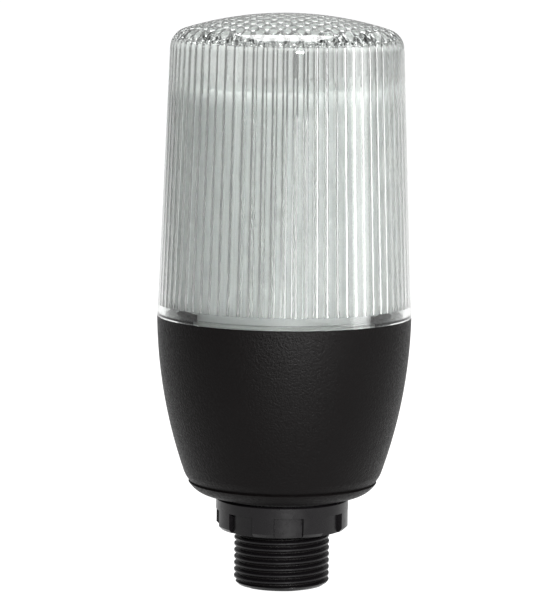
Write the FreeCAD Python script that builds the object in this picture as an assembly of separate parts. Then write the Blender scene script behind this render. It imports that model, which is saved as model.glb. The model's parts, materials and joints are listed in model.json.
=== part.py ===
"""Single-tier LED stack light for a 22 mm panel hole.

A clear, ribbed lens stands on a black tapered housing. The housing is closed below by a
mounting base with a hollow M22 x 1.5 stem, which carries a rubber gasket and a notched ring
nut. Inside are an opal diffuser, a mast with LED boards, and a driver board with terminals.

Frame: millimetres, +Z up along the stem's axis, -Y to the front. The origin is on the axis,
at the shoulder of the mounting base, which is the face that sits on the panel.
"""

import FreeCAD, Part
import math
import os

V = FreeCAD.Vector
AXIS = V(0, 0, 1)

# ---- clearances ---------------------------------------------------------------------------
running_gap = 0.15      # between pieces that turn or slide on each other
seat_gap = 0.05         # between flat faces that meet across a joint
press_gap = 0.05        # round a screw or a pressed-in piece

# ---- housing --------------------------------------------------------------------------------
rim_d = 58.4            # housing and lens where they meet
rim_z = 41.2            # height of that rim over the shoulder
foot_d = 43.4           # housing at its lower edge
foot_z = 3.0            # height of the lower edge, the parting line to the base
foot_inset = 1.05       # rounded foot: how far it draws in, and how high it is
foot_rise = 2.0
side_bulge = 1.5        # how far the side stands out from a straight taper
foot_bulge = 0.08
wall = 2.2              # moulded wall of the housing
bore_step = 0.2         # by which the bore for the lens is narrower than the wall leaves it
land_h = 5.0            # straight land inside the lower edge, which takes the base
edge_chamfer = 0.3      # on both edges of the parting line

# ---- mounting base and stem -----------------------------------------------------------------
base_round = 1.05       # how far the underside stands out from a straight cone
base_floor = 3.0        # thickness of the base at the stem
spigot_wall = 1.6       # ring that stands inside the housing
stem_d = 22.0           # crest diameter of the M22 thread
stem_len = 21.2
stem_chamfer = 0.9
stem_wall = 3.0         # round the bore for the cable
shoulder_w = 4.5        # flat shoulder round the stem
pillar_d = 5.6          # pillars that carry the driver board
pillar_circle_d = 29.0
pillar_top_z = 12.0
first_fixing_deg = 90.0 # first of the three pillars, and of the three brackets over them

# ---- gasket and nut -------------------------------------------------------------------------
gasket_h = 0.8
gasket_w = 3.7
nut_wall = 4.3
nut_h = 7.2
nut_chamfer = 0.8
notch_count = 8
notch_h = 4.5           # height of the grip notches, from the nut's lower face
notch_depth = 1.0
notch_share = 0.573     # of each pitch that is notch
notch_first_deg = 5.9   # centre of the front notch, to the right of -Y

# ---- lens -----------------------------------------------------------------------------------
lens_h = 69.2           # rim to crown
lens_draft_deg = 2.3    # lean of the side
crown_rise = 4.7        # height of the crown over its own edge
crown_round = 5.0       # outside round between side and crown
lens_wall = 1.8         # side wall at the bottom of the flutes
crown_wall = 2.2
rib_count = 72
rib_first_deg = 1.75    # first rib, to the right of -Y
rib_w = 1.75
rib_h = 0.65            # how far the ribs stand into the lens
rib_start = 2.6         # plain band under the ribs
bead_pitch = 2.93
bead_d = 2.6
bead_tip_d = 1.3
bead_h = 0.75
bead_field_edge = 4.6   # from the inner side to the outermost beads

# ---- twist lock between lens and housing ----------------------------------------------------
hook_count = 3
hook_first_deg = 90.0
hook_w_deg = 9.0
hook_wall = 1.3         # thickness of the upright
hook_gap = 0.2          # between the upright and the lens spigot
hook_lip = 0.8          # how far the hook reaches over the lens ledge
hook_top = 1.55         # over the rim
ledge_h = 0.6
lock_turn_deg = 20.0
spigot_h = 4.0          # part of the lens that stands inside the housing
lens_spigot_wall = 1.85
stop_w_deg = 2.5
side_play_deg = 1.0

# ---- lens seal ------------------------------------------------------------------------------
seal_edge = 0.8         # rim left outside the seal's groove
seal_w = 1.0
seal_h = 1.1

# ---- reflector plate, diffuser, mast --------------------------------------------------------
plate_gap = 0.4         # to the hooks round it
plate_h = 2.0
plate_drop = 3.0        # below the rim
bracket_h = 5.6
bracket_w = 6.4
bracket_edge = 2.6      # bracket left inside its screw
plate_screw_gap = 0.8   # from the heads of its screws to the diffuser
diffuser_edge = 1.3     # plate left outside the diffuser
diffuser_draft_deg = 2.3
diffuser_wall = 1.4
diffuser_air = 12.1     # between its crown and the beads
diffuser_crown = 2.4
diffuser_round = 3.0
groove_depth = 0.8
mast_w = 13.0
mast_wall = 1.5
mast_head_room = 3.3    # from the top LEDs to the diffuser's crown
mast_flange_gap = 1.0   # from its edge to the heads of the plate screws
mast_flange_h = 1.6
mast_screw_edge = 2.5   # flange left outside its screws

# ---- boards and parts on them ---------------------------------------------------------------
board_h = 1.6
driver_d = 38.8
cable_hole_d = 12.0
strip_w = 10.6
strip_margin = 1.5      # mast left over at both ends of a strip
strip_h = 1.0
led_w = 3.5
led_l = 2.8
led_h = 1.9
led_rows = 6
top_board_w = 12.0
top_led_pitch = 5.4
terminal_poles = 5
terminal_pitch = 3.81
terminal_depth = 7.6
terminal_h = 9.0
terminal_y = -12.5
wire_hole_d = 2.4
clamp_screw_d = 2.6
clamp_screw_h = 3.0
socket_l, socket_w, socket_h = 11.0, 5.0, 6.0
socket_x, socket_y = 12.6, 3.5
wire_d = 1.2
wire_count = 4
wire_pitch = 2.5
capacitor_d, capacitor_h = 8.0, 12.0
capacitor_x, capacitor_y = -8.2, 10.8
rectifier_w, rectifier_h = 6.5, 2.6
rectifier_x, rectifier_y = -13.2, 0.5
chip_w, chip_h = 6.0, 1.2
chip_x, chip_y = 6.6, 12.2
resistor_l, resistor_w, resistor_h = 3.2, 1.6, 0.6
resistor_count = 5
resistor_circle_d = 16.6
resistor_first_deg = 30.0
resistor_step_deg = 22.0

# ---- screws ---------------------------------------------------------------------------------
screw_d = 2.4
screw_head_d = 4.4
screw_head_h = 1.7
screw_slot_w, screw_slot_depth = 0.7, 0.8
board_screw_len = 6.5
plate_screw_len = 5.5
mast_screw_len = 3.2

# ---- sizes that follow from those above -----------------------------------------------------
rim_r = rim_d / 2
foot_r = foot_d / 2
waist_r, waist_z = foot_r + foot_inset, foot_z + foot_rise
land_r = foot_r - wall
stem_r = stem_d / 2
cable_r = stem_r - stem_wall
shoulder_r = stem_r + shoulder_w
gasket_r = stem_r + gasket_w
nut_r = stem_r + nut_wall
nut_top_z = -gasket_h - seat_gap

lens_z = rim_z + seat_gap
lens_corner_z = lens_z + lens_h - crown_rise
housing_bore_r = rim_r - wall - bore_step
lens_spigot_r = housing_bore_r - running_gap
lens_mouth_r = lens_spigot_r - lens_spigot_wall
hook_post_r = lens_mouth_r - hook_gap
hook_in_r = hook_post_r - hook_wall
hook_out_r = hook_post_r + hook_lip
seal_out_r = rim_r - seal_edge

plate_r = hook_in_r - plate_gap
plate_top_z = rim_z - plate_drop
plate_z = plate_top_z - plate_h
diffuser_r = plate_r - diffuser_edge
diffuser_z = plate_top_z - groove_depth
diffuser_top_z = rim_z + lens_h - crown_wall - bead_h - diffuser_air
plate_screw_r = diffuser_r - diffuser_wall - plate_screw_gap - screw_head_d / 2
bracket_in_r = plate_screw_r - bracket_edge
mast_z = plate_top_z + mast_flange_h
mast_flange_r = plate_screw_r - screw_head_d / 2 - mast_flange_gap
mast_screw_r = mast_flange_r - mast_screw_edge
mast_top_z = diffuser_top_z - diffuser_wall - mast_head_room - led_h - strip_h
strip_len = mast_top_z - mast_z - 2 * strip_margin

board_top_z = pillar_top_z + board_h
socket_top_z = board_top_z + socket_h
plug_h = socket_h - 1.0


# ---- helpers --------------------------------------------------------------------------------
def polar(radius, degrees, z=0.0):
    """A point at that radius and angle, the angle counted from +X."""
    a = math.radians(degrees)
    return V(radius * math.cos(a), radius * math.sin(a), z)


def line(a, b):
    return Part.LineSegment(V(a[0], 0, a[1]), V(b[0], 0, b[1])).toShape()


def arc_through(a, b, c):
    """An arc through three points, each as (radius, height)."""
    return Part.Arc(V(a[0], 0, a[1]), V(b[0], 0, b[1]), V(c[0], 0, c[1])).toShape()


def bowed(a, b, bulge):
    """An arc from a to b, points as (radius, height), that stands out by bulge to its right."""
    dx, dz = b[0] - a[0], b[1] - a[1]
    length = math.hypot(dx, dz)
    mid = ((a[0] + b[0]) / 2 + bulge * dz / length, (a[1] + b[1]) / 2 - bulge * dx / length)
    return arc_through(a, mid, b)


def turned(edges, degrees=360.0, start=0.0):
    """A solid turned from a closed profile of edges, from the start angle through degrees."""
    face = Part.Face(Part.Wire(edges))
    if start:
        face.rotate(V(0, 0, 0), AXIS, start)
    solid = face.revolve(V(0, 0, 0), AXIS, degrees)
    return solid


def turned_polygon(points, degrees=360.0, start=0.0):
    """The same from corner points (radius, height) alone."""
    closed = points + [points[0]]
    return turned([line(a, b) for a, b in zip(closed, closed[1:])], degrees, start)


def ring(outer_r, inner_r, z0, z1):
    return turned_polygon([(inner_r, z0), (outer_r, z0), (outer_r, z1), (inner_r, z1)])


def rod(radius, z0, z1, x=0.0, y=0.0):
    return Part.makeCylinder(radius, z1 - z0, V(x, y, z0), AXIS)


def block(length, width, height, x, y, z):
    """A box whose base is centred on x, y at height z."""
    return Part.makeBox(length, width, height, V(x - length / 2, y - width / 2, z))


def around(shape, count, first=0.0):
    """Copies of a shape, evenly spaced about the axis."""
    copies = []
    for i in range(count):
        copy = shape.copy()
        copy.rotate(V(0, 0, 0), AXIS, first + i * 360.0 / count)
        copies.append(copy)
    return copies


def union(first, others):
    return first.multiFuse(others).removeSplitter() if others else first


def edges_at(shape, z, radius=None, tolerance=1e-3):
    """Circular edges that lie at height z and, if given, have that radius."""
    found = []
    for e in shape.Edges:
        box = e.BoundBox
        flat = abs(box.ZMin - z) < tolerance and abs(box.ZMax - z) < tolerance
        if flat and isinstance(e.Curve, Part.Circle):
            if radius is None or abs(e.Curve.Radius - radius) < tolerance:
                found.append(e)
    return found


def screw(length, x, y, z):
    """A slotted pan-head screw whose head sits on height z."""
    shank = rod(screw_d / 2, z - length, z, x, y)
    head = rod(screw_head_d / 2, z, z + screw_head_h, x, y)
    head = head.makeChamfer(screw_head_h / 3, edges_at(head, z + screw_head_h))
    slot = block(screw_head_d, screw_slot_w, screw_slot_depth, x, y, z + screw_head_h - screw_slot_depth)
    return shank.fuse(head).cut(slot).removeSplitter()


def screw_holes(points, z0, z1):
    return [rod(screw_d / 2 + press_gap, z0, z1, p.x, p.y) for p in points]


def export(name, shape):
    solids = shape.Solids
    body = solids[0] if len(solids) == 1 else Part.makeCompound(solids)
    body.exportStep(os.path.join("parts", name + ".step"))
    print(name, len(solids), "solid(s)", round(sum(s.Volume for s in solids), 1), "mm3", body.isValid())


# ---- positions that several pieces share ----------------------------------------------------
pillar_points = [polar(pillar_circle_d / 2, first_fixing_deg + 120 * i) for i in range(3)]
plate_screw_points = [polar(plate_screw_r, first_fixing_deg + 120 * i) for i in range(3)]
mast_screw_points = [V(side * mast_screw_r, 0, 0) for side in (-1, 1)]
hook_angles = [hook_first_deg + i * 360.0 / hook_count for i in range(hook_count)]
wire_ys = [socket_y + (i - (wire_count - 1) / 2) * wire_pitch for i in range(wire_count)]
terminal_xs = [(i - (terminal_poles - 1) / 2) * terminal_pitch for i in range(terminal_poles)]


# ---- housing --------------------------------------------------------------------------------
def housing_hook(angle):
    """One hook of the twist lock: an upright inside the lens spigot, with a lip over its ledge."""
    under_lip = lens_z + ledge_h + seat_gap * 2
    root_top = lens_z - spigot_h - 2 * running_gap
    root_z = root_top - 3.0
    section = [
        (hook_in_r, root_z), (housing_bore_r + wall / 2, root_z), (housing_bore_r + wall / 2, root_top),
        (hook_post_r, root_top), (hook_post_r, under_lip), (hook_out_r, under_lip),
        (hook_out_r, rim_z + hook_top - hook_lip / 2), (hook_post_r, rim_z + hook_top),
        (hook_in_r, rim_z + hook_top),
    ]
    return turned_polygon(section, hook_w_deg, angle - hook_w_deg / 2)


def plate_bracket():
    """A bracket on the housing's wall that carries the reflector plate, drawn along +X."""
    z0 = plate_z - bracket_h
    length = rim_r - wall - bracket_in_r
    arm = Part.makeBox(length, bracket_w, bracket_h, V(bracket_in_r, -bracket_w / 2, z0))
    taper = Part.makePolygon([V(bracket_in_r, 0, z0), V(bracket_in_r + length * 0.6, 0, z0),
                              V(bracket_in_r, 0, z0 + bracket_h * 0.5), V(bracket_in_r, 0, z0)])
    wedge = Part.Face(taper).extrude(V(0, bracket_w, 0))
    wedge.translate(V(0, -bracket_w / 2, 0))
    return arm.cut(wedge)


def turned_side(inset, edge=0.0):
    """The room inside the housing's side, moved in by inset, with an edge chamfer at the foot."""
    rim, waist = (rim_r - inset, rim_z), (waist_r - inset, waist_z)
    corner, foot = (foot_r - inset, foot_z + edge), (foot_r - inset - edge, foot_z)
    side = [bowed(corner, waist, foot_bulge), bowed(waist, rim, side_bulge)]
    ends = [line(rim, (0, rim_z)), line((0, rim_z), (0, foot_z)), line((0, foot_z), foot)]
    return turned(ends + ([line(foot, corner)] if edge else []) + side)


def make_housing():
    """Tapered bowl with a land for the base, a rim for lens and seal, brackets and hooks."""
    inside = turned_side(wall).common(rod(rim_r, foot_z + land_h, rim_z))
    mouth = rod(housing_bore_r, lens_z - spigot_h - running_gap, rim_z)
    bore = rod(land_r, foot_z, foot_z + land_h)
    groove = ring(seal_out_r, seal_out_r - seal_w, rim_z - seal_h, rim_z)
    hollow = inside.multiFuse([bore, mouth])
    shell = turned_side(0.0, edge_chamfer).cut(Part.makeCompound([hollow, groove]))
    within = turned_side(wall / 2)
    brackets = [b.common(within) for b in around(plate_bracket(), 3, first_fixing_deg)]
    hooks = [housing_hook(a) for a in hook_angles]
    holes = screw_holes(plate_screw_points, plate_z - plate_screw_len, plate_z)
    return union(shell, brackets + hooks).cut(Part.makeCompound(holes))


# ---- mounting base --------------------------------------------------------------------------
def make_base():
    """Domed underside, shoulder, hollow stem, and the ring and pillars that stand in the housing."""
    shoulder, corner = (shoulder_r, 0), (foot_r, foot_z - edge_chamfer)
    edge = (foot_r - edge_chamfer, foot_z)
    dish = turned([bowed(shoulder, corner, base_round), line(corner, edge), line(edge, (0, foot_z)),
                   line((0, foot_z), (0, 0)), line((0, 0), shoulder)])
    spigot_r = land_r - press_gap
    spigot = rod(spigot_r, foot_z - edge_chamfer, foot_z + land_h)
    stem = rod(stem_r, -stem_len, 0)
    stem = stem.makeChamfer(stem_chamfer, edges_at(stem, -stem_len))
    body = union(dish, [spigot, stem])
    well = rod(spigot_r - spigot_wall, base_floor, foot_z + land_h)
    pillars = [rod(pillar_d / 2, base_floor, pillar_top_z, p.x, p.y) for p in pillar_points]
    body = union(body.cut(well), pillars)
    bore = rod(cable_r, -stem_len, foot_z + land_h)
    holes = screw_holes(pillar_points, pillar_top_z - board_screw_len + board_h, pillar_top_z)
    return body.cut(Part.makeCompound([bore] + holes))


def make_gasket():
    return ring(gasket_r, stem_r + running_gap, -gasket_h, 0)


def make_nut():
    """Ring nut with grip notches, open at its lower face."""
    bottom, bore_r = nut_top_z - nut_h, stem_r + running_gap
    body = ring(nut_r, bore_r, bottom, nut_top_z)
    body = body.makeChamfer(nut_chamfer, edges_at(body, bottom, nut_r))
    body = body.makeChamfer(nut_chamfer / 2, edges_at(body, nut_top_z, nut_r) + edges_at(body, bottom, bore_r))
    width = 360.0 / notch_count * notch_share
    floor_r, beyond_r = nut_r - notch_depth, nut_r + notch_depth
    section = [(floor_r, bottom), (beyond_r, bottom), (beyond_r, bottom + notch_h), (floor_r, bottom + notch_h)]
    notch = turned_polygon(section, width, -90 + notch_first_deg - width / 2)
    return body.cut(Part.makeCompound(around(notch, notch_count)))


# ---- lens -----------------------------------------------------------------------------------
def lens_r(height):
    """Outside radius of the lens at a height over the rim."""
    return rim_r - math.tan(math.radians(lens_draft_deg)) * height


def crowned(low, high, rise, round_r):
    """A turned plug: a side from low to high, points as (radius, height), then a domed top that
    rises over high, with a tangent round between the two."""
    apex_z = high[1] + rise
    dome_r = (high[0] ** 2 + rise ** 2) / (2 * rise)
    dome_z = apex_z - dome_r
    length = math.hypot(high[0] - low[0], high[1] - low[1])
    ux, uz = (high[0] - low[0]) / length, (high[1] - low[1]) / length
    # centre of the round: round_r inside the side line, and inside the dome
    ox, oz = low[0] - uz * round_r, low[1] + ux * round_r - dome_z
    along = ox * ux + oz * uz
    reach = -along + math.sqrt(along ** 2 - ox ** 2 - oz ** 2 + (dome_r - round_r) ** 2)
    cx, cz = ox + ux * reach, oz + uz * reach
    dome_angle, side_angle = math.atan2(cz, cx), math.atan2(-ux, uz)

    def on_round(angle):
        return (cx + round_r * math.cos(angle), dome_z + cz + round_r * math.sin(angle))

    def on_dome(angle):
        return (dome_r * math.cos(angle), dome_z + dome_r * math.sin(angle))

    side_end, dome_start = on_round(side_angle), on_dome(dome_angle)
    round_arc = arc_through(side_end, on_round((side_angle + dome_angle) / 2), dome_start)
    dome_arc = arc_through(dome_start, on_dome((dome_angle + math.pi / 2) / 2), (0, apex_z))
    return turned([line((0, low[1]), low), line(low, side_end), round_arc, dome_arc,
                   line((0, apex_z), (0, low[1]))])


def make_ribs():
    """Round ribs on the inside of the lens. Each is a rod that leans in with the wall."""
    low_z, high_z = lens_z + rib_start, lens_corner_z
    low_r, high_r = lens_r(rib_start) - lens_wall, lens_r(lens_h - crown_rise) - lens_wall
    rod_r = ((rib_w / 2) ** 2 + rib_h ** 2) / (2 * rib_h)
    sink = rod_r - rib_h
    lean = V(high_r - low_r, 0, high_z - low_z)
    rib = Part.makeCylinder(rod_r, lean.Length, V(low_r + sink, 0, low_z), lean)
    return around(rib, rib_count, -90 + rib_first_deg)


def ceiling_z(radius):
    """Height of the crown's inner face at a radius."""
    top_r, top_z = lens_inner_corner()
    dome_r = (top_r ** 2 + crown_rise ** 2) / (2 * crown_rise)
    return top_z + crown_rise - dome_r + math.sqrt(dome_r ** 2 - radius ** 2)


def lens_inner_corner():
    """Where the inner side would meet the inner dome."""
    z = lens_corner_z - crown_wall
    return lens_r(z - lens_z) - lens_wall, z


def bead(x, y):
    """A six-sided bead under the crown, narrower at its lower end."""
    z = ceiling_z(math.hypot(x, y))
    tiers = [[V(x, y, 0) + polar(radius, 60 * i, height) for i in range(6)]
             for radius, height in ((bead_d / 2, z + crown_wall / 4), (bead_tip_d / 2, z - bead_h))]
    faces = [Part.Face(Part.makePolygon(tier + tier[:1])) for tier in tiers]
    for i in range(6):
        j = (i + 1) % 6
        corners = [tiers[0][i], tiers[0][j], tiers[1][j], tiers[1][i], tiers[0][i]]
        faces.append(Part.Face(Part.makePolygon(corners)))
    return Part.makeSolid(Part.makeShell(faces))


def make_beads():
    """Beads in rows, every second row shifted by half a pitch."""
    row_step = bead_pitch * math.sqrt(3) / 2
    limit = lens_inner_corner()[0] - bead_field_edge
    rows, columns = int(limit / row_step), int(limit / bead_pitch) + 1
    beads = []
    for row in range(-rows, rows + 1):
        shift = bead_pitch / 2 if row % 2 else 0.0
        for column in range(-columns, columns + 1):
            x, y = column * bead_pitch + shift, row * row_step
            if math.hypot(x, y) <= limit:
                beads.append(bead(x, y))
    return beads


def make_lens():
    """The lens: ribbed and beaded inside, smooth outside, with a ledge for the housing's hooks."""
    outer = crowned((rim_r, lens_z), (lens_r(lens_h - crown_rise), lens_corner_z), crown_rise, crown_round)
    hollow_low = (lens_r(ledge_h) - lens_wall, lens_z + ledge_h)
    hollow = crowned(hollow_low, lens_inner_corner(), crown_rise, crown_round - lens_wall)
    hollow = hollow.cut(Part.makeCompound(make_ribs() + make_beads()))
    spigot = rod(lens_spigot_r, lens_z - spigot_h, lens_z)
    mouth = rod(lens_mouth_r, lens_z - spigot_h, lens_z + ledge_h)
    gap_deg = hook_w_deg + 2 * side_play_deg
    passage_r = hook_out_r + 2 * running_gap
    pass_section = [(hook_in_r, lens_z - spigot_h), (passage_r, lens_z - spigot_h),
                    (passage_r, lens_z + ledge_h), (hook_in_r, lens_z + ledge_h)]
    passages = [turned_polygon(pass_section, gap_deg, a - lock_turn_deg - gap_deg / 2) for a in hook_angles]
    body = outer.fuse(spigot).cut(Part.makeCompound([hollow, mouth] + passages))
    stop_r, stop_z = hollow_low[0] + lens_wall / 4, lens_z + ledge_h / 2
    stop_section = [(lens_mouth_r, stop_z), (stop_r, stop_z),
                    (stop_r, rim_z + hook_top), (lens_mouth_r, rim_z + hook_top)]
    stops = [turned_polygon(stop_section, stop_w_deg, a + hook_w_deg / 2 + side_play_deg) for a in hook_angles]
    return union(body, stops)


def make_seal():
    return ring(seal_out_r - press_gap, seal_out_r - seal_w + press_gap, rim_z - seal_h + press_gap, rim_z)


# ---- light assembly -------------------------------------------------------------------------
def make_plate():
    """White reflector plate with a seat for the diffuser and a window for the LED plug's leads."""
    plate = rod(plate_r, plate_z, plate_top_z)
    plate = plate.makeChamfer(plate_h / 4, edges_at(plate, plate_top_z))
    groove = ring(diffuser_r + press_gap, diffuser_r - diffuser_wall - press_gap, diffuser_z, plate_top_z)
    window = block(mast_w - 2 * mast_wall, mast_w - 2 * mast_wall, plate_h, 0, 0, plate_z)
    holes = screw_holes(plate_screw_points + mast_screw_points, plate_z, plate_top_z)
    return plate.cut(Part.makeCompound([groove, window] + holes))


def make_diffuser():
    """Opal cap over the LED mast, standing in the plate's groove."""
    high_z = diffuser_top_z - diffuser_crown
    high_r = diffuser_r - math.tan(math.radians(diffuser_draft_deg)) * (high_z - diffuser_z)
    outer = crowned((diffuser_r, diffuser_z), (high_r, high_z), diffuser_crown, diffuser_round)
    inner = crowned((diffuser_r - diffuser_wall, diffuser_z), (high_r - diffuser_wall, high_z - diffuser_wall),
                    diffuser_crown, diffuser_round - diffuser_wall)
    return outer.cut(inner)


def make_mast():
    """White square column with a round flange."""
    flange = rod(mast_flange_r, plate_top_z, mast_z)
    column = block(mast_w, mast_w, mast_top_z - mast_z, 0, 0, mast_z)
    inner_w = mast_w - 2 * mast_wall
    duct = block(inner_w, inner_w, mast_top_z - plate_top_z, 0, 0, plate_top_z)
    holes = screw_holes(mast_screw_points, plate_top_z, mast_z)
    return flange.fuse(column).cut(Part.makeCompound([duct] + holes)).removeSplitter()


def make_strip_board():
    """LED strip board on the mast's front face."""
    return block(strip_w, strip_h, strip_len, 0, -mast_w / 2 - strip_h / 2, mast_z + strip_margin)


def make_strip_leds():
    """The front board's LEDs, one above another."""
    pitch = strip_len / led_rows
    y = -mast_w / 2 - strip_h - led_h / 2
    z0 = mast_z + strip_margin
    return Part.makeCompound([block(led_w, led_h, led_l, 0, y, z0 + (i + 0.5) * pitch - led_l / 2)
                              for i in range(led_rows)])


def make_top_board():
    return block(top_board_w, top_board_w, strip_h, 0, 0, mast_top_z)


def make_top_leds():
    half = top_led_pitch / 2
    return Part.makeCompound([block(led_w, led_l, led_h, sx * half, sy * half, mast_top_z + strip_h)
                              for sx in (-1, 1) for sy in (-1, 1)])


# ---- driver board and what is on it ---------------------------------------------------------
def make_driver_board():
    board = rod(driver_d / 2, pillar_top_z, board_top_z)
    cuts = screw_holes(pillar_points, pillar_top_z, board_top_z)
    cuts.append(rod(cable_hole_d / 2, pillar_top_z, board_top_z))
    return board.cut(Part.makeCompound(cuts))


def make_terminal_block():
    """Terminal block with a wire hole and a screw well for each pole."""
    length = terminal_poles * terminal_pitch + 1.0
    body = block(length, terminal_depth, terminal_h, 0, terminal_y, board_top_z)
    cuts = []
    for x in terminal_xs:
        cuts.append(rod(clamp_screw_d / 2 + press_gap, board_top_z + terminal_h / 2, board_top_z + terminal_h,
                        x, terminal_y))
        mouth = V(x, terminal_y + terminal_depth / 2, board_top_z + terminal_h * 0.28)
        cuts.append(Part.makeCylinder(wire_hole_d / 2, terminal_depth * 0.7, mouth, V(0, -1, 0)))
    return body.cut(Part.makeCompound(cuts))


def make_clamp_screws():
    z0 = board_top_z + terminal_h / 2
    screws = []
    for x in terminal_xs:
        body = rod(clamp_screw_d / 2, z0, z0 + clamp_screw_h, x, terminal_y)
        slot = block(clamp_screw_d, 0.6, 0.7, x, terminal_y, z0 + clamp_screw_h - 0.7)
        screws.append(body.cut(slot))
    return Part.makeCompound(screws)


def make_socket():
    """Socket on the driver board for the wires to the LEDs."""
    body = block(socket_w, socket_l, socket_h, socket_x, socket_y, board_top_z)
    key = block(socket_w / 5, socket_l / 3, socket_h / 2, socket_x + socket_w / 2, socket_y,
                socket_top_z - socket_h / 2)
    return body.cut(key)


def make_plug():
    return block(socket_w, socket_l, plug_h, socket_x, socket_y, plate_z - plug_h)


def make_wires():
    """The wires between socket and plug."""
    return Part.makeCompound([rod(wire_d / 2, socket_top_z, plate_z - plug_h, socket_x, y) for y in wire_ys])


def make_capacitor():
    can = rod(capacitor_d / 2, board_top_z, board_top_z + capacitor_h, capacitor_x, capacitor_y)
    return can.makeChamfer(capacitor_d / 16, edges_at(can, board_top_z + capacitor_h))


def make_rectifier():
    return block(rectifier_w, rectifier_w, rectifier_h, rectifier_x, rectifier_y, board_top_z)


def make_chip():
    return block(chip_w, chip_w, chip_h, chip_x, chip_y, board_top_z)


def make_resistors():
    chips = []
    for i in range(resistor_count):
        angle = resistor_first_deg + i * resistor_step_deg
        chip = block(resistor_w, resistor_l, resistor_h, resistor_circle_d / 2, 0, board_top_z)
        chip.rotate(V(0, 0, 0), AXIS, angle)
        chips.append(chip)
    return Part.makeCompound(chips)


# ---- screws ---------------------------------------------------------------------------------
def make_board_screws():
    return Part.makeCompound([screw(board_screw_len, p.x, p.y, board_top_z) for p in pillar_points])


def make_plate_screws():
    return Part.makeCompound([screw(plate_screw_len + plate_h - 0.3, p.x, p.y, plate_top_z)
                              for p in plate_screw_points])


def make_mast_screws():
    return Part.makeCompound([screw(mast_screw_len, p.x, p.y, mast_z) for p in mast_screw_points])


# ---- everything -----------------------------------------------------------------------------
def main():
    os.makedirs("parts", exist_ok=True)
    pieces = {
        "lens": make_lens,
        "lens_seal": make_seal,
        "housing": make_housing,
        "mounting_base": make_base,
        "mounting_gasket": make_gasket,
        "mounting_nut": make_nut,
        "reflector_plate": make_plate,
        "plate_screws": make_plate_screws,
        "diffuser": make_diffuser,
        "led_mast": make_mast,
        "mast_screws": make_mast_screws,
        "top_board": make_top_board,
        "top_leds": make_top_leds,
        "driver_board": make_driver_board,
        "board_screws": make_board_screws,
        "terminal_block": make_terminal_block,
        "terminal_screws": make_clamp_screws,
        "wire_socket": make_socket,
        "wire_plug": make_plug,
        "led_wires": make_wires,
        "capacitor": make_capacitor,
        "rectifier": make_rectifier,
        "controller_chip": make_chip,
        "resistors": make_resistors,
    }
    for name, make in pieces.items():
        export(name, make())
    board, leds = make_strip_board(), make_strip_leds()
    for i, side in enumerate(("front", "right", "back", "left")):
        for name, shape in (("led_board_" + side, board), ("leds_" + side, leds)):
            copy = shape.copy()
            copy.rotate(V(0, 0, 0), AXIS, 90 * i)
            export(name, copy)


main()
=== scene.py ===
"""Looks of the single-tier stack light: ribbed lens, threaded base, materials, light, camera."""

import bpy, bmesh
import json
import math
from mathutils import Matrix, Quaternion, Vector, kdtree


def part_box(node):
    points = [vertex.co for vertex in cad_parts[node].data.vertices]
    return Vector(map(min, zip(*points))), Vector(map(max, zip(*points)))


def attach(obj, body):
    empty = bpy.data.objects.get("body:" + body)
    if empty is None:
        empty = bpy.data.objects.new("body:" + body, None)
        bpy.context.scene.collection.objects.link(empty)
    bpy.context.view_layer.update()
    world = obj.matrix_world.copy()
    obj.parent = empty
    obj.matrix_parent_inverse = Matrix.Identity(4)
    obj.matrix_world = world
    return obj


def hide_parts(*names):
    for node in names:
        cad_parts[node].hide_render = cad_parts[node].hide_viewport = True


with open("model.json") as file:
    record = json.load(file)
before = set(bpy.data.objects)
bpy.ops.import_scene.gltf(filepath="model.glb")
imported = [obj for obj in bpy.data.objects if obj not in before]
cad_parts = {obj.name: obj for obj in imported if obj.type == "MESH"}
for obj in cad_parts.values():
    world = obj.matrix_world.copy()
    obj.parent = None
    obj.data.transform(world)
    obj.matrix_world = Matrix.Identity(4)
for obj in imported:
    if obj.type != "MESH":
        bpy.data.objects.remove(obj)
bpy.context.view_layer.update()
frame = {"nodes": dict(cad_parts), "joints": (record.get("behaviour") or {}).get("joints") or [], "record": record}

scene = bpy.context.scene
MM = 0.001
merge_gap = 0.004 * MM  # vertices nearer to each other than this are merged


# ---- places that the frame gives, in millimetres -------------------------------------------------
def corners(name):
    """A node's lowest and highest corner in millimetres, to the micrometre."""
    return [[round(c / MM, 3) for c in corner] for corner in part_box(name)]


(_, _, lens_low), (rim_r, _, lens_top) = corners("lens")
(_, _, stem_end), (base_r, _, pillar_top) = corners("mounting_base")
(_, _, nut_low), _ = corners("mounting_nut")
nut_travel = next(j for j in frame["joints"] if j["name"] == "nut_travel")["range_m"][0] / MM

# ---- sizes of the lens, in millimetres -----------------------------------------------------------
spigot_r, mouth_r, spigot_h = 26.65, 24.8, 4.0  # the ring that stands inside the housing
rim_z = lens_low + spigot_h             # foot of the side, on the housing's rim
lens_h = lens_top - rim_z
lens_lean = math.radians(2.3)           # of the side, inwards
lens_wall, ledge_h = 1.8, 0.6
crown_rise, crown_wall = 4.7, 2.2
crown_round, inner_round = 5.0, 0.6     # between side and crown, outside and inside
crown_steps, ceiling_steps, round_steps = 14, 84, 10

rib_count, rib_first_deg = 72, 1.75
rib_half, rib_h = 0.875, 0.65
rib_start, rib_foot_h = 2.6, 0.03       # plain band under the ribs, and the step up to them
ribs_end_r = 24.0                       # they end where the ceiling is this wide
side_rings = (15, 30, 45)               # heights over the rim of more rings on the inner side
columns_per_rib = 10                    # columns of vertices in the pitch of a rib
rib_reach = 3                           # how many are drawn in to each side of its middle
rib_foot_r, rib_mid_r = 27.0, 26.2      # inner side near the ribs' foot and half way up
lens_columns = rib_count * columns_per_rib

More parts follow.
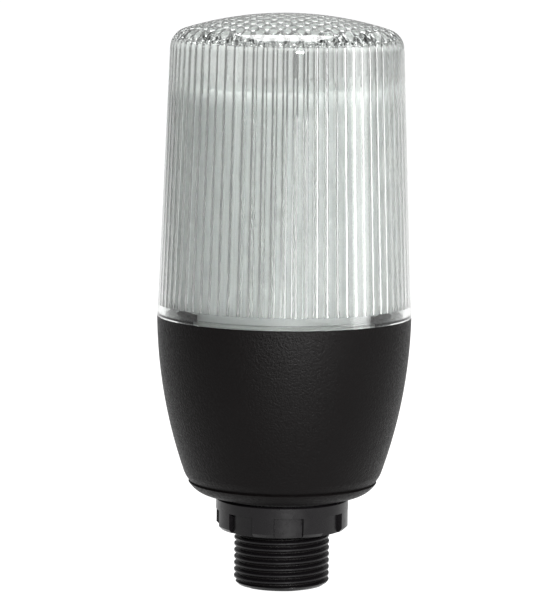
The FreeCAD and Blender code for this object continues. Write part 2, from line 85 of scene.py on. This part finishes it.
bead_pitch, bead_r, bead_h = 2.93, 1.3, 1.15    # rounder and taller than the stubs of the solids
beads_end_r = 23.1
shell_drop = 3.5                        # the inner round lies within this under the ribs' end
shell_gap = 0.3                         # vertices further over the inner side are the outer one's

# ---- sizes of the mounting base and its thread, in millimetres -----------------------------------
stem_r, stem_chamfer, cable_r = 11.0, 0.9, 8.0
thread_pitch, thread_depth, thread_turns = 1.5, 0.92, 15
root_r = stem_r - thread_depth
root_flat, crest_low = 0.12, 0.58       # heights in a pitch: the root ends, the crest begins
crest_chamfer = 0.12
tooth_sunk, sleeve_wall = 0.5, 0.8      # how far tooth and sleeve reach in under the thread's root
thread_top = 0.4                        # cut off inside the shoulder, out of sight
root_chamfer = 0.25                     # of the rod under the thread, at the stem's end
thread_steps, base_steps = 96, 192      # round the axis

shoulder_r, base_floor = 15.4, 3.0
base_edge, base_round, dome_steps = 0.3, 1.05, 14       # base_round: bulge of the underside
dome_low = (15.5, 0.02)                 # where the domed underside starts
ring_r, ring_in_r, ring_top = 19.45, 17.85, 8.0         # the ring that stands in the housing
pillar_r, pillar_sunk, pillar_circle_r = 2.8, 0.2, 14.5
pillar_h = pillar_top - base_floor + pillar_sunk
pillar_first_deg, pillar_count = 90, 3
screw_wall, screw_depth = 1.55, 4.9     # round and along the screw hole in a pillar


# ---- modelling -----------------------------------------------------------------------------------
def nothing_selected():
    """Leaves edit mode and deselects everything."""
    if bpy.context.object and bpy.context.object.mode != "OBJECT":
        bpy.ops.object.mode_set(mode="OBJECT")
    bpy.ops.object.select_all(action="DESELECT")


def only(piece):
    """Selects this piece and no other."""
    nothing_selected()
    bpy.context.view_layer.objects.active = piece
    piece.select_set(True)


def pick(test):
    """In edit mode, selects the vertices whose place in millimetres passes the test."""
    mesh = bmesh.from_edit_mesh(bpy.context.object.data)
    for v in mesh.verts:
        v.select = test(v.co / MM)
    mesh.select_flush_mode()
    bmesh.update_edit_mesh(bpy.context.object.data)


def outline(name, points):
    """An open outline in the X-Z plane: one vertex, extruded from point to point."""
    nothing_selected()
    bpy.ops.mesh.primitive_plane_add(size=2 * MM)
    piece = bpy.context.object
    piece.name = piece.data.name = name
    bpy.ops.object.mode_set(mode="EDIT")
    bpy.ops.mesh.select_mode(type="VERT")
    bpy.ops.mesh.merge(type="CENTER")
    bpy.ops.transform.translate(value=(points[0][0] * MM, 0, points[0][1] * MM))
    for (r0, z0), (r1, z1) in zip(points, points[1:]):
        step = ((r1 - r0) * MM, 0, (z1 - z0) * MM)
        bpy.ops.mesh.extrude_region_move(TRANSFORM_OT_translate={"value": step})
    return piece


def spun(name, points, steps):
    """The outline turned once round the axis, its seam and poles merged; stays in edit mode."""
    piece = outline(name, points)
    bpy.ops.mesh.select_all(action="SELECT")
    bpy.ops.mesh.spin(steps=steps, angle=math.tau, center=(0, 0, 0), axis=(0, 0, 1))
    bpy.ops.mesh.select_all(action="SELECT")
    bpy.ops.mesh.remove_doubles(threshold=merge_gap)
    bpy.ops.mesh.normals_make_consistent(inside=False)
    return piece


def applied(piece, kind, **settings):
    """Gives the piece a modifier and applies it."""
    only(piece)
    modifier = piece.modifiers.new(kind.title(), kind)
    for key, value in settings.items():
        setattr(modifier, key, value)
    bpy.ops.object.modifier_apply(modifier=modifier.name)


def smooth(piece, degrees):
    """Shades the piece smooth, apart from edges sharper than the angle."""
    only(piece)
    bpy.ops.object.shade_smooth_by_angle(angle=math.radians(degrees))
    piece.select_set(False)


def arc(centre, radius, start, end, count):
    """Points on an arc, without its first one."""
    angles = [start + (end - start) * i / count for i in range(1, count + 1)]
    return [(centre[0] + radius * math.cos(a), centre[1] + radius * math.sin(a)) for a in angles]


def bowed(a, b, bulge, count):
    """Points from a to b, both included, that stand out to the right by bulge."""
    dx, dz = b[0] - a[0], b[1] - a[1]
    length = math.hypot(dx, dz)
    points = []
    for i in range(count + 1):
        t = i / count
        out = bulge * 4 * t * (1 - t)
        points.append((a[0] + dx * t + out * dz / length, a[1] + dz * t - out * dx / length))
    return points


def crown(low, high, rise, round_r, dome_count):
    """A leaning side from low up, a round, and a dome to the axis, as points (radius, height).

    Without the round, side and dome would meet at high. The middle of the round is sought along
    the side, round_r inside it, where it is dome_r - round_r from the middle of the dome.
    """
    apex = high[1] + rise
    dome_r = (high[0] ** 2 + rise ** 2) / (2 * rise)
    dome_z = apex - dome_r
    length = math.hypot(high[0] - low[0], high[1] - low[1])
    ux, uz = (high[0] - low[0]) / length, (high[1] - low[1]) / length
    ox, oz = low[0] - uz * round_r, low[1] + ux * round_r - dome_z
    along = ox * ux + oz * uz
    reach = -along + math.sqrt(along ** 2 - ox ** 2 - oz ** 2 + (dome_r - round_r) ** 2)
    cx, cz = ox + ux * reach, oz + uz * reach
    side_angle, dome_angle = math.atan2(-ux, uz), math.atan2(cz, cx)
    side_end = (cx + round_r * math.cos(side_angle),
                dome_z + cz + round_r * math.sin(side_angle))
    points = [low, side_end]
    points += arc((cx, dome_z + cz), round_r, side_angle, dome_angle, round_steps)
    points += arc((0, dome_z), dome_r, dome_angle, math.pi / 2, dome_count)
    points[-1] = (0, apex)
    return points


# ---- lens ----------------------------------------------------------------------------------------
def outer_r(height):
    """Outer radius of the leaning side at a height over the rim."""
    return rim_r - math.tan(lens_lean) * height


def lens_inner():
    """Inner side of the lens, from the ledge to the middle of the ceiling."""
    def on_side(height):
        return outer_r(height) - lens_wall, rim_z + height

    corner_z = rim_z + lens_h - crown_rise - crown_wall
    corner = (outer_r(corner_z - rim_z) - lens_wall, corner_z)
    rise = crown(on_side(ledge_h), corner, crown_rise, inner_round, ceiling_steps)
    between = [on_side(h) for h in (rib_start - rib_foot_h, rib_start, *side_rings)]
    return rise[:1] + between + rise[1:]


def draw_ribs(ribs_top):
    """In edit mode, draws the inner side in towards the axis into ribs, column by column."""
    rod_r = (rib_half ** 2 + rib_h ** 2) / (2 * rib_h)
    column_w = math.tau * rib_foot_r / lens_columns
    for column in range(-rib_reach, rib_reach + 1):
        height = math.sqrt(rod_r ** 2 - (column * column_w) ** 2) - rod_r + rib_h

        def in_column(p, column=column):
            inner = math.hypot(p.x, p.y) < outer_r(p.z - rim_z) - lens_wall / 2
            ribbed = rim_z + rib_start - rib_foot_h / 2 < p.z < ribs_top
            turn = math.degrees(math.atan2(p.y, p.x)) - rib_first_deg
            place = round(turn * lens_columns / 360 - column)
            return inner and ribbed and place % columns_per_rib == 0

        pick(in_column)
        share = 1 - height / rib_mid_r
        bpy.ops.transform.resize(value=(share, share, 1), center_override=(0, 0, 0))


def on_shell(shell, x, y):
    """The point of the inner crown over x, y, and the direction into the lens there."""
    tiny = 1e-6
    r = math.hypot(x, y)
    for (r0, z0), (r1, z1) in zip(shell, shell[1:]):
        if r0 <= r <= r1 or r1 == shell[-1][0]:
            t = min(1.0, (r - r0) / max(r1 - r0, tiny))
            across = Vector((x, y, 0)) / max(r, tiny)
            inward = across * (z1 - z0) + Vector((0, 0, -(r1 - r0)))
            return Vector((x, y, z0 + (z1 - z0) * t)), inward.normalized()


def draw_beads(piece, shell):
    """Draws the ceiling and its round in into drops, in rows shifted by half a pitch."""
    row_step = bead_pitch * math.sqrt(3) / 2
    rows, columns = int(beads_end_r / row_step), int(beads_end_r / bead_pitch) + 1
    drops = []
    for row in range(-rows, rows + 1):
        shift = bead_pitch / 2 if row % 2 else 0.0
        for column in range(-columns, columns + 1):
            x, y = column * bead_pitch + shift, row * row_step
            if math.hypot(x, y) <= beads_end_r:
                drops.append(on_shell(shell, x, y))
    finder = kdtree.KDTree(len(drops))
    for i, (middle, _) in enumerate(drops):
        finder.insert(middle, i)
    finder.balance()

    ball_r = (bead_r ** 2 + bead_h ** 2) / (2 * bead_h)
    for v in piece.data.vertices:
        p = v.co / MM
        _, nearest, gap = finder.find(p)
        if gap < bead_r and p.z < on_shell(shell, p.x, p.y)[0].z + shell_gap:
            inward = drops[nearest][1]
            v.co += inward * (math.sqrt(ball_r ** 2 - gap ** 2) - ball_r + bead_h) * MM


def make_lens():
    """The lens in one piece: smooth outside, ribbed and beaded inside, with its spigot."""
    outside = crown((rim_r, rim_z), (outer_r(lens_h - crown_rise), rim_z + lens_h - crown_rise),
                    crown_rise, crown_round, crown_steps)
    inside = lens_inner()
    spigot = [(mouth_r, rim_z + ledge_h), (mouth_r, rim_z - spigot_h),
              (spigot_r, rim_z - spigot_h), (spigot_r, rim_z)]
    piece = spun("lens_clear", inside[::-1] + spigot + outside, lens_columns)
    bpy.ops.mesh.select_all(action="SELECT")
    bpy.ops.transform.rotate(value=-math.radians(rib_first_deg), orient_axis="Z",
                             center_override=(0, 0, 0))
    ribs_top = next(z for r, z in inside if r < ribs_end_r)
    draw_ribs(ribs_top)
    bpy.ops.object.mode_set(mode="OBJECT")
    draw_beads(piece, [(r, z) for r, z in reversed(inside) if z > ribs_top - shell_drop])
    smooth(piece, degrees=50)
    return piece


# ---- mounting base with its thread ---------------------------------------------------------------
def make_thread():
    """The thread ridge: a flat-topped tooth wound down the stem, trimmed to the end chamfer."""
    rising = [(root_r - tooth_sunk, 0.0), (root_r, root_flat),
              (stem_r - crest_chamfer, crest_low - crest_chamfer), (stem_r, crest_low)]
    tooth = rising + [(r, thread_pitch - z) for r, z in reversed(rising)]
    piece = outline("stem_thread", [(r, z - thread_turns * thread_pitch) for r, z in tooth])
    bpy.ops.mesh.select_all(action="SELECT")
    bpy.ops.object.mode_set(mode="OBJECT")
    applied(piece, "SCREW", angle=math.tau, screw_offset=thread_pitch * MM,
            iterations=thread_turns, steps=thread_steps, render_steps=thread_steps,
            use_merge_vertices=True, merge_threshold=merge_gap, use_normal_calculate=True)
    bpy.ops.object.mode_set(mode="EDIT")
    bpy.ops.mesh.select_all(action="SELECT")
    bpy.ops.mesh.remove_doubles(threshold=merge_gap)
    for cut_z, keep_above in ((stem_end, True), (thread_top, False)):
        bpy.ops.mesh.select_all(action="SELECT")
        bpy.ops.mesh.bisect(plane_co=(0, 0, cut_z * MM), plane_no=(0, 0, 1),
                            clear_inner=keep_above, clear_outer=not keep_above)
    # both cut edges are drawn in to a plain bore, which closes the sleeve
    bpy.ops.mesh.select_mode(type="EDGE")
    bpy.ops.mesh.select_all(action="DESELECT")
    bpy.ops.mesh.select_non_manifold()
    bpy.ops.mesh.extrude_edges_move()
    mesh = bmesh.from_edit_mesh(piece.data)
    for v in mesh.verts:
        if v.select:
            v.co.xy = v.co.xy.normalized() * (root_r - sleeve_wall) * MM
    bmesh.update_edit_mesh(piece.data)
    bpy.ops.mesh.bridge_edge_loops()
    # what stands out past the chamfer at the stem's end is drawn in to it
    for v in bmesh.from_edit_mesh(piece.data).verts:
        v.co.z = max(v.co.z, stem_end * MM)
        most = (stem_r - stem_chamfer) * MM + max(0.0, v.co.z - stem_end * MM)
        if v.co.xy.length > most:
            v.co.xy = v.co.xy.normalized() * most
    bpy.ops.mesh.select_all(action="SELECT")
    bpy.ops.mesh.remove_doubles(threshold=merge_gap / 2)
    bpy.ops.mesh.normals_make_consistent(inside=False)
    bpy.ops.object.mode_set(mode="OBJECT")
    smooth(piece, degrees=30)
    return piece


def join_pillar(base, angle):
    """Adds a pillar for the driver board, with its screw hole, and joins it to the base."""
    x, y = pillar_circle_r * math.cos(angle) * MM, pillar_circle_r * math.sin(angle) * MM
    nothing_selected()
    bpy.ops.mesh.primitive_cylinder_add(vertices=32, radius=pillar_r * MM, depth=pillar_h * MM,
                                        location=(x, y, (pillar_top - pillar_h / 2) * MM))
    pillar = bpy.context.object
    bpy.ops.object.transform_apply(location=True)
    bpy.ops.object.mode_set(mode="EDIT")
    bpy.ops.mesh.select_mode(type="FACE")
    mesh = bmesh.from_edit_mesh(pillar.data)
    for f in mesh.faces:
        f.select = f.normal.z > 0.9  # the top
    bmesh.update_edit_mesh(pillar.data)
    bpy.ops.mesh.inset(thickness=screw_wall * MM)
    bpy.ops.mesh.extrude_region_move(TRANSFORM_OT_translate={"value": (0, 0, -screw_depth * MM)})
    bpy.ops.object.mode_set(mode="OBJECT")
    base.select_set(True)
    bpy.context.view_layer.objects.active = base
    bpy.ops.object.join()


def make_base():
    """Domed underside, shoulder, stem at the thread's root, and the ring inside the housing."""
    profile = [(cable_r, stem_end), (root_r - root_chamfer, stem_end),
               (root_r, stem_end + root_chamfer), (root_r, -base_edge), (root_r, 0.0),
               (shoulder_r, 0.0)]
    profile += bowed(dome_low, (base_r, base_floor - base_edge), base_round, dome_steps)
    profile += [(base_r - base_edge, base_floor), (ring_r, base_floor), (ring_r, ring_top),
                (ring_in_r, ring_top), (ring_in_r, base_floor), (cable_r, base_floor),
                (cable_r, stem_end)]
    piece = spun("base_moulding", profile, base_steps)
    bpy.ops.object.mode_set(mode="OBJECT")
    for i in range(pillar_count):
        join_pillar(piece, math.radians(pillar_first_deg + 360 / pillar_count * i))
    smooth(piece, degrees=30)
    return piece


lens_clear = make_lens()
base_moulding = make_base()
stem_thread = make_thread()

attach(lens_clear, "lens")
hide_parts("lens")
for piece in (base_moulding, stem_thread):
    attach(piece, "housing")
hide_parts("mounting_base")

# ---- materials -----------------------------------------------------------------------------------
FACTOR, A, B, RESULT = 0, 6, 7, 2  # sockets of a Mix node that mixes colours


def linear(hex_colour, alpha=1.0):
    """An sRGB hex colour as linear values."""
    parts = [int(hex_colour[i:i + 2], 16) / 255 for i in (1, 3, 5)]
    return tuple(c / 12.92 if c <= 0.04045 else ((c + 0.055) / 1.055) ** 2.4
                 for c in parts) + (alpha,)


def node(tree, kind, sockets=(), **settings):
    """Adds a node with its settings, and sets or links its sockets."""
    made = tree.nodes.new("ShaderNode" + kind)
    for key, value in settings.items():
        setattr(made, key, value)
    for key, value in dict(sockets).items():
        if isinstance(value, bpy.types.NodeSocket):
            tree.links.new(value, made.inputs[key])
        else:
            made.inputs[key].default_value = value
    return made


def surface(name, light, dark, patch_mm, rough, rough_spread, grain_mm, grain_depth, **shader):
    """A material with a slow change of colour, uneven gloss and a fine grain, from real sizes."""
    material = bpy.data.materials.new(name)
    material.use_nodes = True
    tree = material.node_tree
    tree.nodes.clear()
    place = node(tree, "TexCoord").outputs["Object"]
    patches = node(tree, "TexNoise", {"Vector": place, "Scale": 1 / MM / patch_mm,
                                      "Detail": 3.0}).outputs["Fac"]
    grain = node(tree, "TexNoise", {"Vector": place, "Scale": 1 / MM / grain_mm, "Detail": 4.0,
                                    "Roughness": 0.6}).outputs["Fac"]
    colour = node(tree, "Mix", {FACTOR: patches, A: linear(dark), B: linear(light)},
                  data_type="RGBA").outputs[RESULT]
    # the noise keeps mostly between 0.3 and 0.7
    gloss = node(tree, "MapRange", {"Value": grain, "From Min": 0.3, "From Max": 0.7,
                                    "To Min": rough - rough_spread,
                                    "To Max": rough + rough_spread}).outputs["Result"]
    bump = node(tree, "Bump", {"Height": grain, "Distance": grain_depth * MM,
                               "Strength": 1.0}).outputs["Normal"]
    shade = node(tree, "BsdfPrincipled", {"Base Color": colour, "Roughness": gloss,
                                          "Normal": bump})
    for key, value in shader.items():
        shade.inputs[key.replace("_", " ")].default_value = value
    node(tree, "OutputMaterial", {"Surface": shade.outputs["BSDF"]})
    return material


def shader_input(material, name):
    """A socket of the material's shader."""
    shade = next(n for n in material.node_tree.nodes if n.type == "BSDF_PRINCIPLED")
    return shade.inputs[name]


def paint_crown_light(material, low, high, painted_crown_colour):
    """Painted light on the crown: the body's colour goes lighter between two heights in millimetres."""
    tree = material.node_tree
    base_colour = shader_input(material, "Base Color")
    body = base_colour.links[0].from_socket
    place = node(tree, "TexCoord").outputs["Object"]
    height = node(tree, "SeparateXYZ", {0: place}).outputs["Z"]
    crown_light_share = node(tree, "MapRange", {"Value": height, "From Min": low * MM,
                                   "From Max": high * MM}).outputs["Result"]
    mixed = node(tree, "Mix", {FACTOR: crown_light_share, A: body, B: linear(painted_crown_colour)},
                 data_type="RGBA").outputs[RESULT]
    tree.links.new(mixed, base_colour)


# Polycarbonate, injection moulded and polished: clear, with a faint grey and slight waves of flow.
clear = surface("clear_moulded_polycarbonate", "#eff1f0", "#ebeeec", patch_mm=18,
                rough=0.03, rough_spread=0.01, grain_mm=5.0, grain_depth=0.004,
                IOR=1.585, Transmission_Weight=1.0)
# ABS, moulded in a spark-eroded tool: near black, with a fine speckle in its broad highlight.
# The real grain is about 0.15 mm; it is drawn at 0.5 mm so that it shows.
eroded = surface("black_spark_eroded_abs", "#050404", "#030202", patch_mm=14,
                 rough=0.44, rough_spread=0.14, grain_mm=0.5, grain_depth=0.16,
                 IOR=1.54, Specular_IOR_Level=0.06)
# Glass-filled nylon, moulded in a smooth tool: black and glossier, with flow marks.
nylon = surface("black_moulded_nylon", "#080708", "#050405", patch_mm=8,
                rough=0.3, rough_spread=0.07, grain_mm=1.6, grain_depth=0.02,
                IOR=1.53, Specular_IOR_Level=0.16)
# Nitrile rubber, moulded: dull black that takes almost no highlight.
rubber = surface("black_moulded_rubber", "#141414", "#0e0e0e", patch_mm=5,
                 rough=0.75, rough_spread=0.06, grain_mm=0.6, grain_depth=0.03, IOR=1.5)
# ABS, moulded white: soft sheen.
white = surface("white_moulded_abs", "#dededc", "#d4d4d1", patch_mm=10,
                rough=0.4, rough_spread=0.06, grain_mm=0.8, grain_depth=0.015, IOR=1.54)
# Opal polycarbonate, moulded: milky white and even, with a soft sheen. The crown of the cap is
# painted lighter from its upper edge on: painted light over the shaded top of the cap.
opal = surface("opal_moulded_polycarbonate", "#c4c6c5", "#bcbebd", patch_mm=12,
               rough=0.45, rough_spread=0.05, grain_mm=1.0, grain_depth=0.01, IOR=1.585)
# painted light: the cap's crown is painted lighter from 89 to 93 mm up
paint_crown_light(opal, low=89, high=93, painted_crown_colour="#e6e8e7")
# Steel screws, zinc plated: bright grey with a bluish cast.
steel = surface("zinc_plated_steel", "#c4c7ca", "#a9adb1", patch_mm=1.5,
                rough=0.32, rough_spread=0.08, grain_mm=0.4, grain_depth=0.01, Metallic=1.0)
# Epoxy glass boards, coated with solder mask: semi-gloss and slightly uneven.
white_mask = surface("white_solder_mask", "#edeeea", "#e2e4df", patch_mm=3,
                     rough=0.35, rough_spread=0.05, grain_mm=0.5, grain_depth=0.01, IOR=1.55)
green_mask = surface("green_solder_mask", "#1f6a3d", "#185a33", patch_mm=3,
                     rough=0.32, rough_spread=0.05, grain_mm=0.5, grain_depth=0.01, IOR=1.55)
# LED packages, moulded polyamide filled with phosphor: satin, with a yellowish cast.
led = surface("led_phosphor_package", "#efe6b4", "#e5d896", patch_mm=1.2,
              rough=0.35, rough_spread=0.05, grain_mm=0.4, grain_depth=0.01, IOR=1.5)
# Polyamide, moulded green: satin, for the terminal body.
terminal = surface("green_moulded_polyamide", "#3f9a5a", "#358a4f", patch_mm=4,
                   rough=0.45, rough_spread=0.06, grain_mm=0.6, grain_depth=0.015, IOR=1.53)
# PVC insulation, extruded: satin and slightly uneven.
insulation = surface("extruded_pvc_insulation", "#b02a22", "#98211b", patch_mm=2,
                     rough=0.4, rough_spread=0.06, grain_mm=0.7, grain_depth=0.01, IOR=1.53)
# PET sleeve, shrunk on the capacitor: glossy dark blue.
sleeve = surface("shrunk_pet_sleeve", "#1f2c4a", "#18233c", patch_mm=4,
                 rough=0.22, rough_spread=0.05, grain_mm=1.2, grain_depth=0.01, IOR=1.57)
# Epoxy moulding compound: dull near-black with fine pits.
epoxy = surface("moulded_epoxy_compound", "#232324", "#1b1b1c", patch_mm=2,
                rough=0.6, rough_spread=0.06, grain_mm=0.3, grain_depth=0.015, IOR=1.55)

# each solid takes the finish of its slot, but the nut is nylon, as the thread is
by_slot = {
    "clear_polycarbonate": clear, "black_rubber": rubber, "black_plastic": eroded,
    "white_plastic": white, "opal_plastic": opal, "screw_steel": steel,
    "white_board": white_mask, "led_body": led, "green_board": green_mask,
    "green_terminal": terminal, "wire_insulation": insulation, "capacitor_sleeve": sleeve,
    "black_epoxy": epoxy,
}
node_slots = {part["node"]: part["material_slot"] for part in frame["record"]["subparts"]}
for name, piece in frame["nodes"].items():
    material = nylon if name == "mounting_nut" else by_slot[node_slots[name]]
    for slot in piece.material_slots:
        slot.material = material
    if not piece.material_slots:
        piece.data.materials.append(material)
for piece, material in ((lens_clear, clear), (base_moulding, eroded), (stem_thread, nylon)):
    piece.data.materials.clear()
    piece.data.materials.append(material)

# ---- floor --------------------------------------------------------------------------------------
floor_gap = 0.35  # under the nut when it is run down to the end of the thread
nothing_selected()
bpy.ops.mesh.primitive_plane_add(size=60, location=(0, 0, (nut_low + nut_travel - floor_gap) * MM))
floor = bpy.context.object
floor.name = "floor"
# Matt painted board that glows white: even in the middle, with painted shade that dims its glow far out at both
# sides.
painted = surface("pale_board_painted_falloff", "#6c6c6c", "#686868", patch_mm=400,
                  rough=0.8, rough_spread=0.05, grain_mm=3.0, grain_depth=0.01,
                  Emission_Color=linear("#ffffff"), Emission_Strength=1.0)
floor.data.materials.append(painted)

dim_start, dim_end = 0.14, 0.9  # metres from the axis


def painted_falloff(tree, glow, towards, loss):
    """Painted shade: the glow, less by loss from dim_start to dim_end along a direction on the floor."""
    place = node(tree, "TexCoord").outputs["Object"]
    along = node(tree, "VectorMath", {0: place, 1: towards},
                 operation="DOT_PRODUCT").outputs["Value"]
    lost = node(tree, "MapRange", {"Value": along, "From Min": dim_start, "From Max": dim_end,
                                   "To Min": 0.0, "To Max": loss},
                interpolation_type="SMOOTHSTEP").outputs["Result"]
    return node(tree, "Math", {0: glow, 1: lost}, operation="SUBTRACT").outputs["Value"]


board = painted.node_tree
# painted shade: the floor's glow falls off towards both sides
glow = painted_falloff(board, 1.0, towards=(-0.99, -0.12, 0), loss=0.72)
glow = painted_falloff(board, glow, towards=(0.99, -0.12, 0), loss=0.3)
board.links.new(glow, shader_input(painted, "Emission Strength"))


# ---- light and camera, in metres -----------------------------------------------------------------
def lamp(name, place, aim, width, height, power):
    """A soft box that lights the scene without being seen itself."""
    data = bpy.data.lights.new(name, "AREA")
    data.shape, data.size, data.size_y, data.energy = "RECTANGLE", width, height, power
    made = bpy.data.objects.new(name, data)
    scene.collection.objects.link(made)
    made.location = place
    made.visible_camera = False
    made.rotation_euler = (Vector(aim) - Vector(place)).to_track_quat("-Z", "Y").to_euler()


lamp("softbox_right", (0.80, -0.25, 0.30), aim=(0, 0, 0.05), width=0.30, height=0.7, power=2.2)
lamp("front_lamp", (0.20, -0.9, 0.27), aim=(0, 0, 0.04), width=0.1, height=0.1, power=27)
lamp("top_light", (0, 0, 1.4), aim=(0, 0, 0), width=1.0, height=1.0, power=25)

# even and white all round, and much dimmer than the floor
world = bpy.data.worlds.new("studio")
scene.world = world
world.use_nodes = True
sky = world.node_tree.nodes["Background"]
sky.inputs["Color"].default_value = linear("#ffffff")
sky.inputs["Strength"].default_value = 0.3

# in front, a little higher than the crown, looking slightly down
camera = bpy.data.objects.new("camera", bpy.data.cameras.new("camera"))
scene.collection.objects.link(camera)
scene.camera = camera
camera.data.lens, camera.data.sensor_width = 197.4, 36.0
camera.location = (0, -0.750, 0.1332)
down, left, roll = math.radians(6.73), math.radians(0.253), math.radians(0.62)
look = Vector((-math.sin(left) * math.cos(down), math.cos(left) * math.cos(down), -math.sin(down)))
camera.rotation_mode = "QUATERNION"
camera.rotation_quaternion = look.to_track_quat("-Z", "Y") @ Quaternion((0, 0, 1), roll)
camera.data.clip_start, camera.data.clip_end = 0.05, 50
scene.view_settings.view_transform = "Standard"
# a ray crosses many faces of the ribbed and beaded lens
scene.cycles.max_bounces = scene.cycles.transmission_bounces = 28
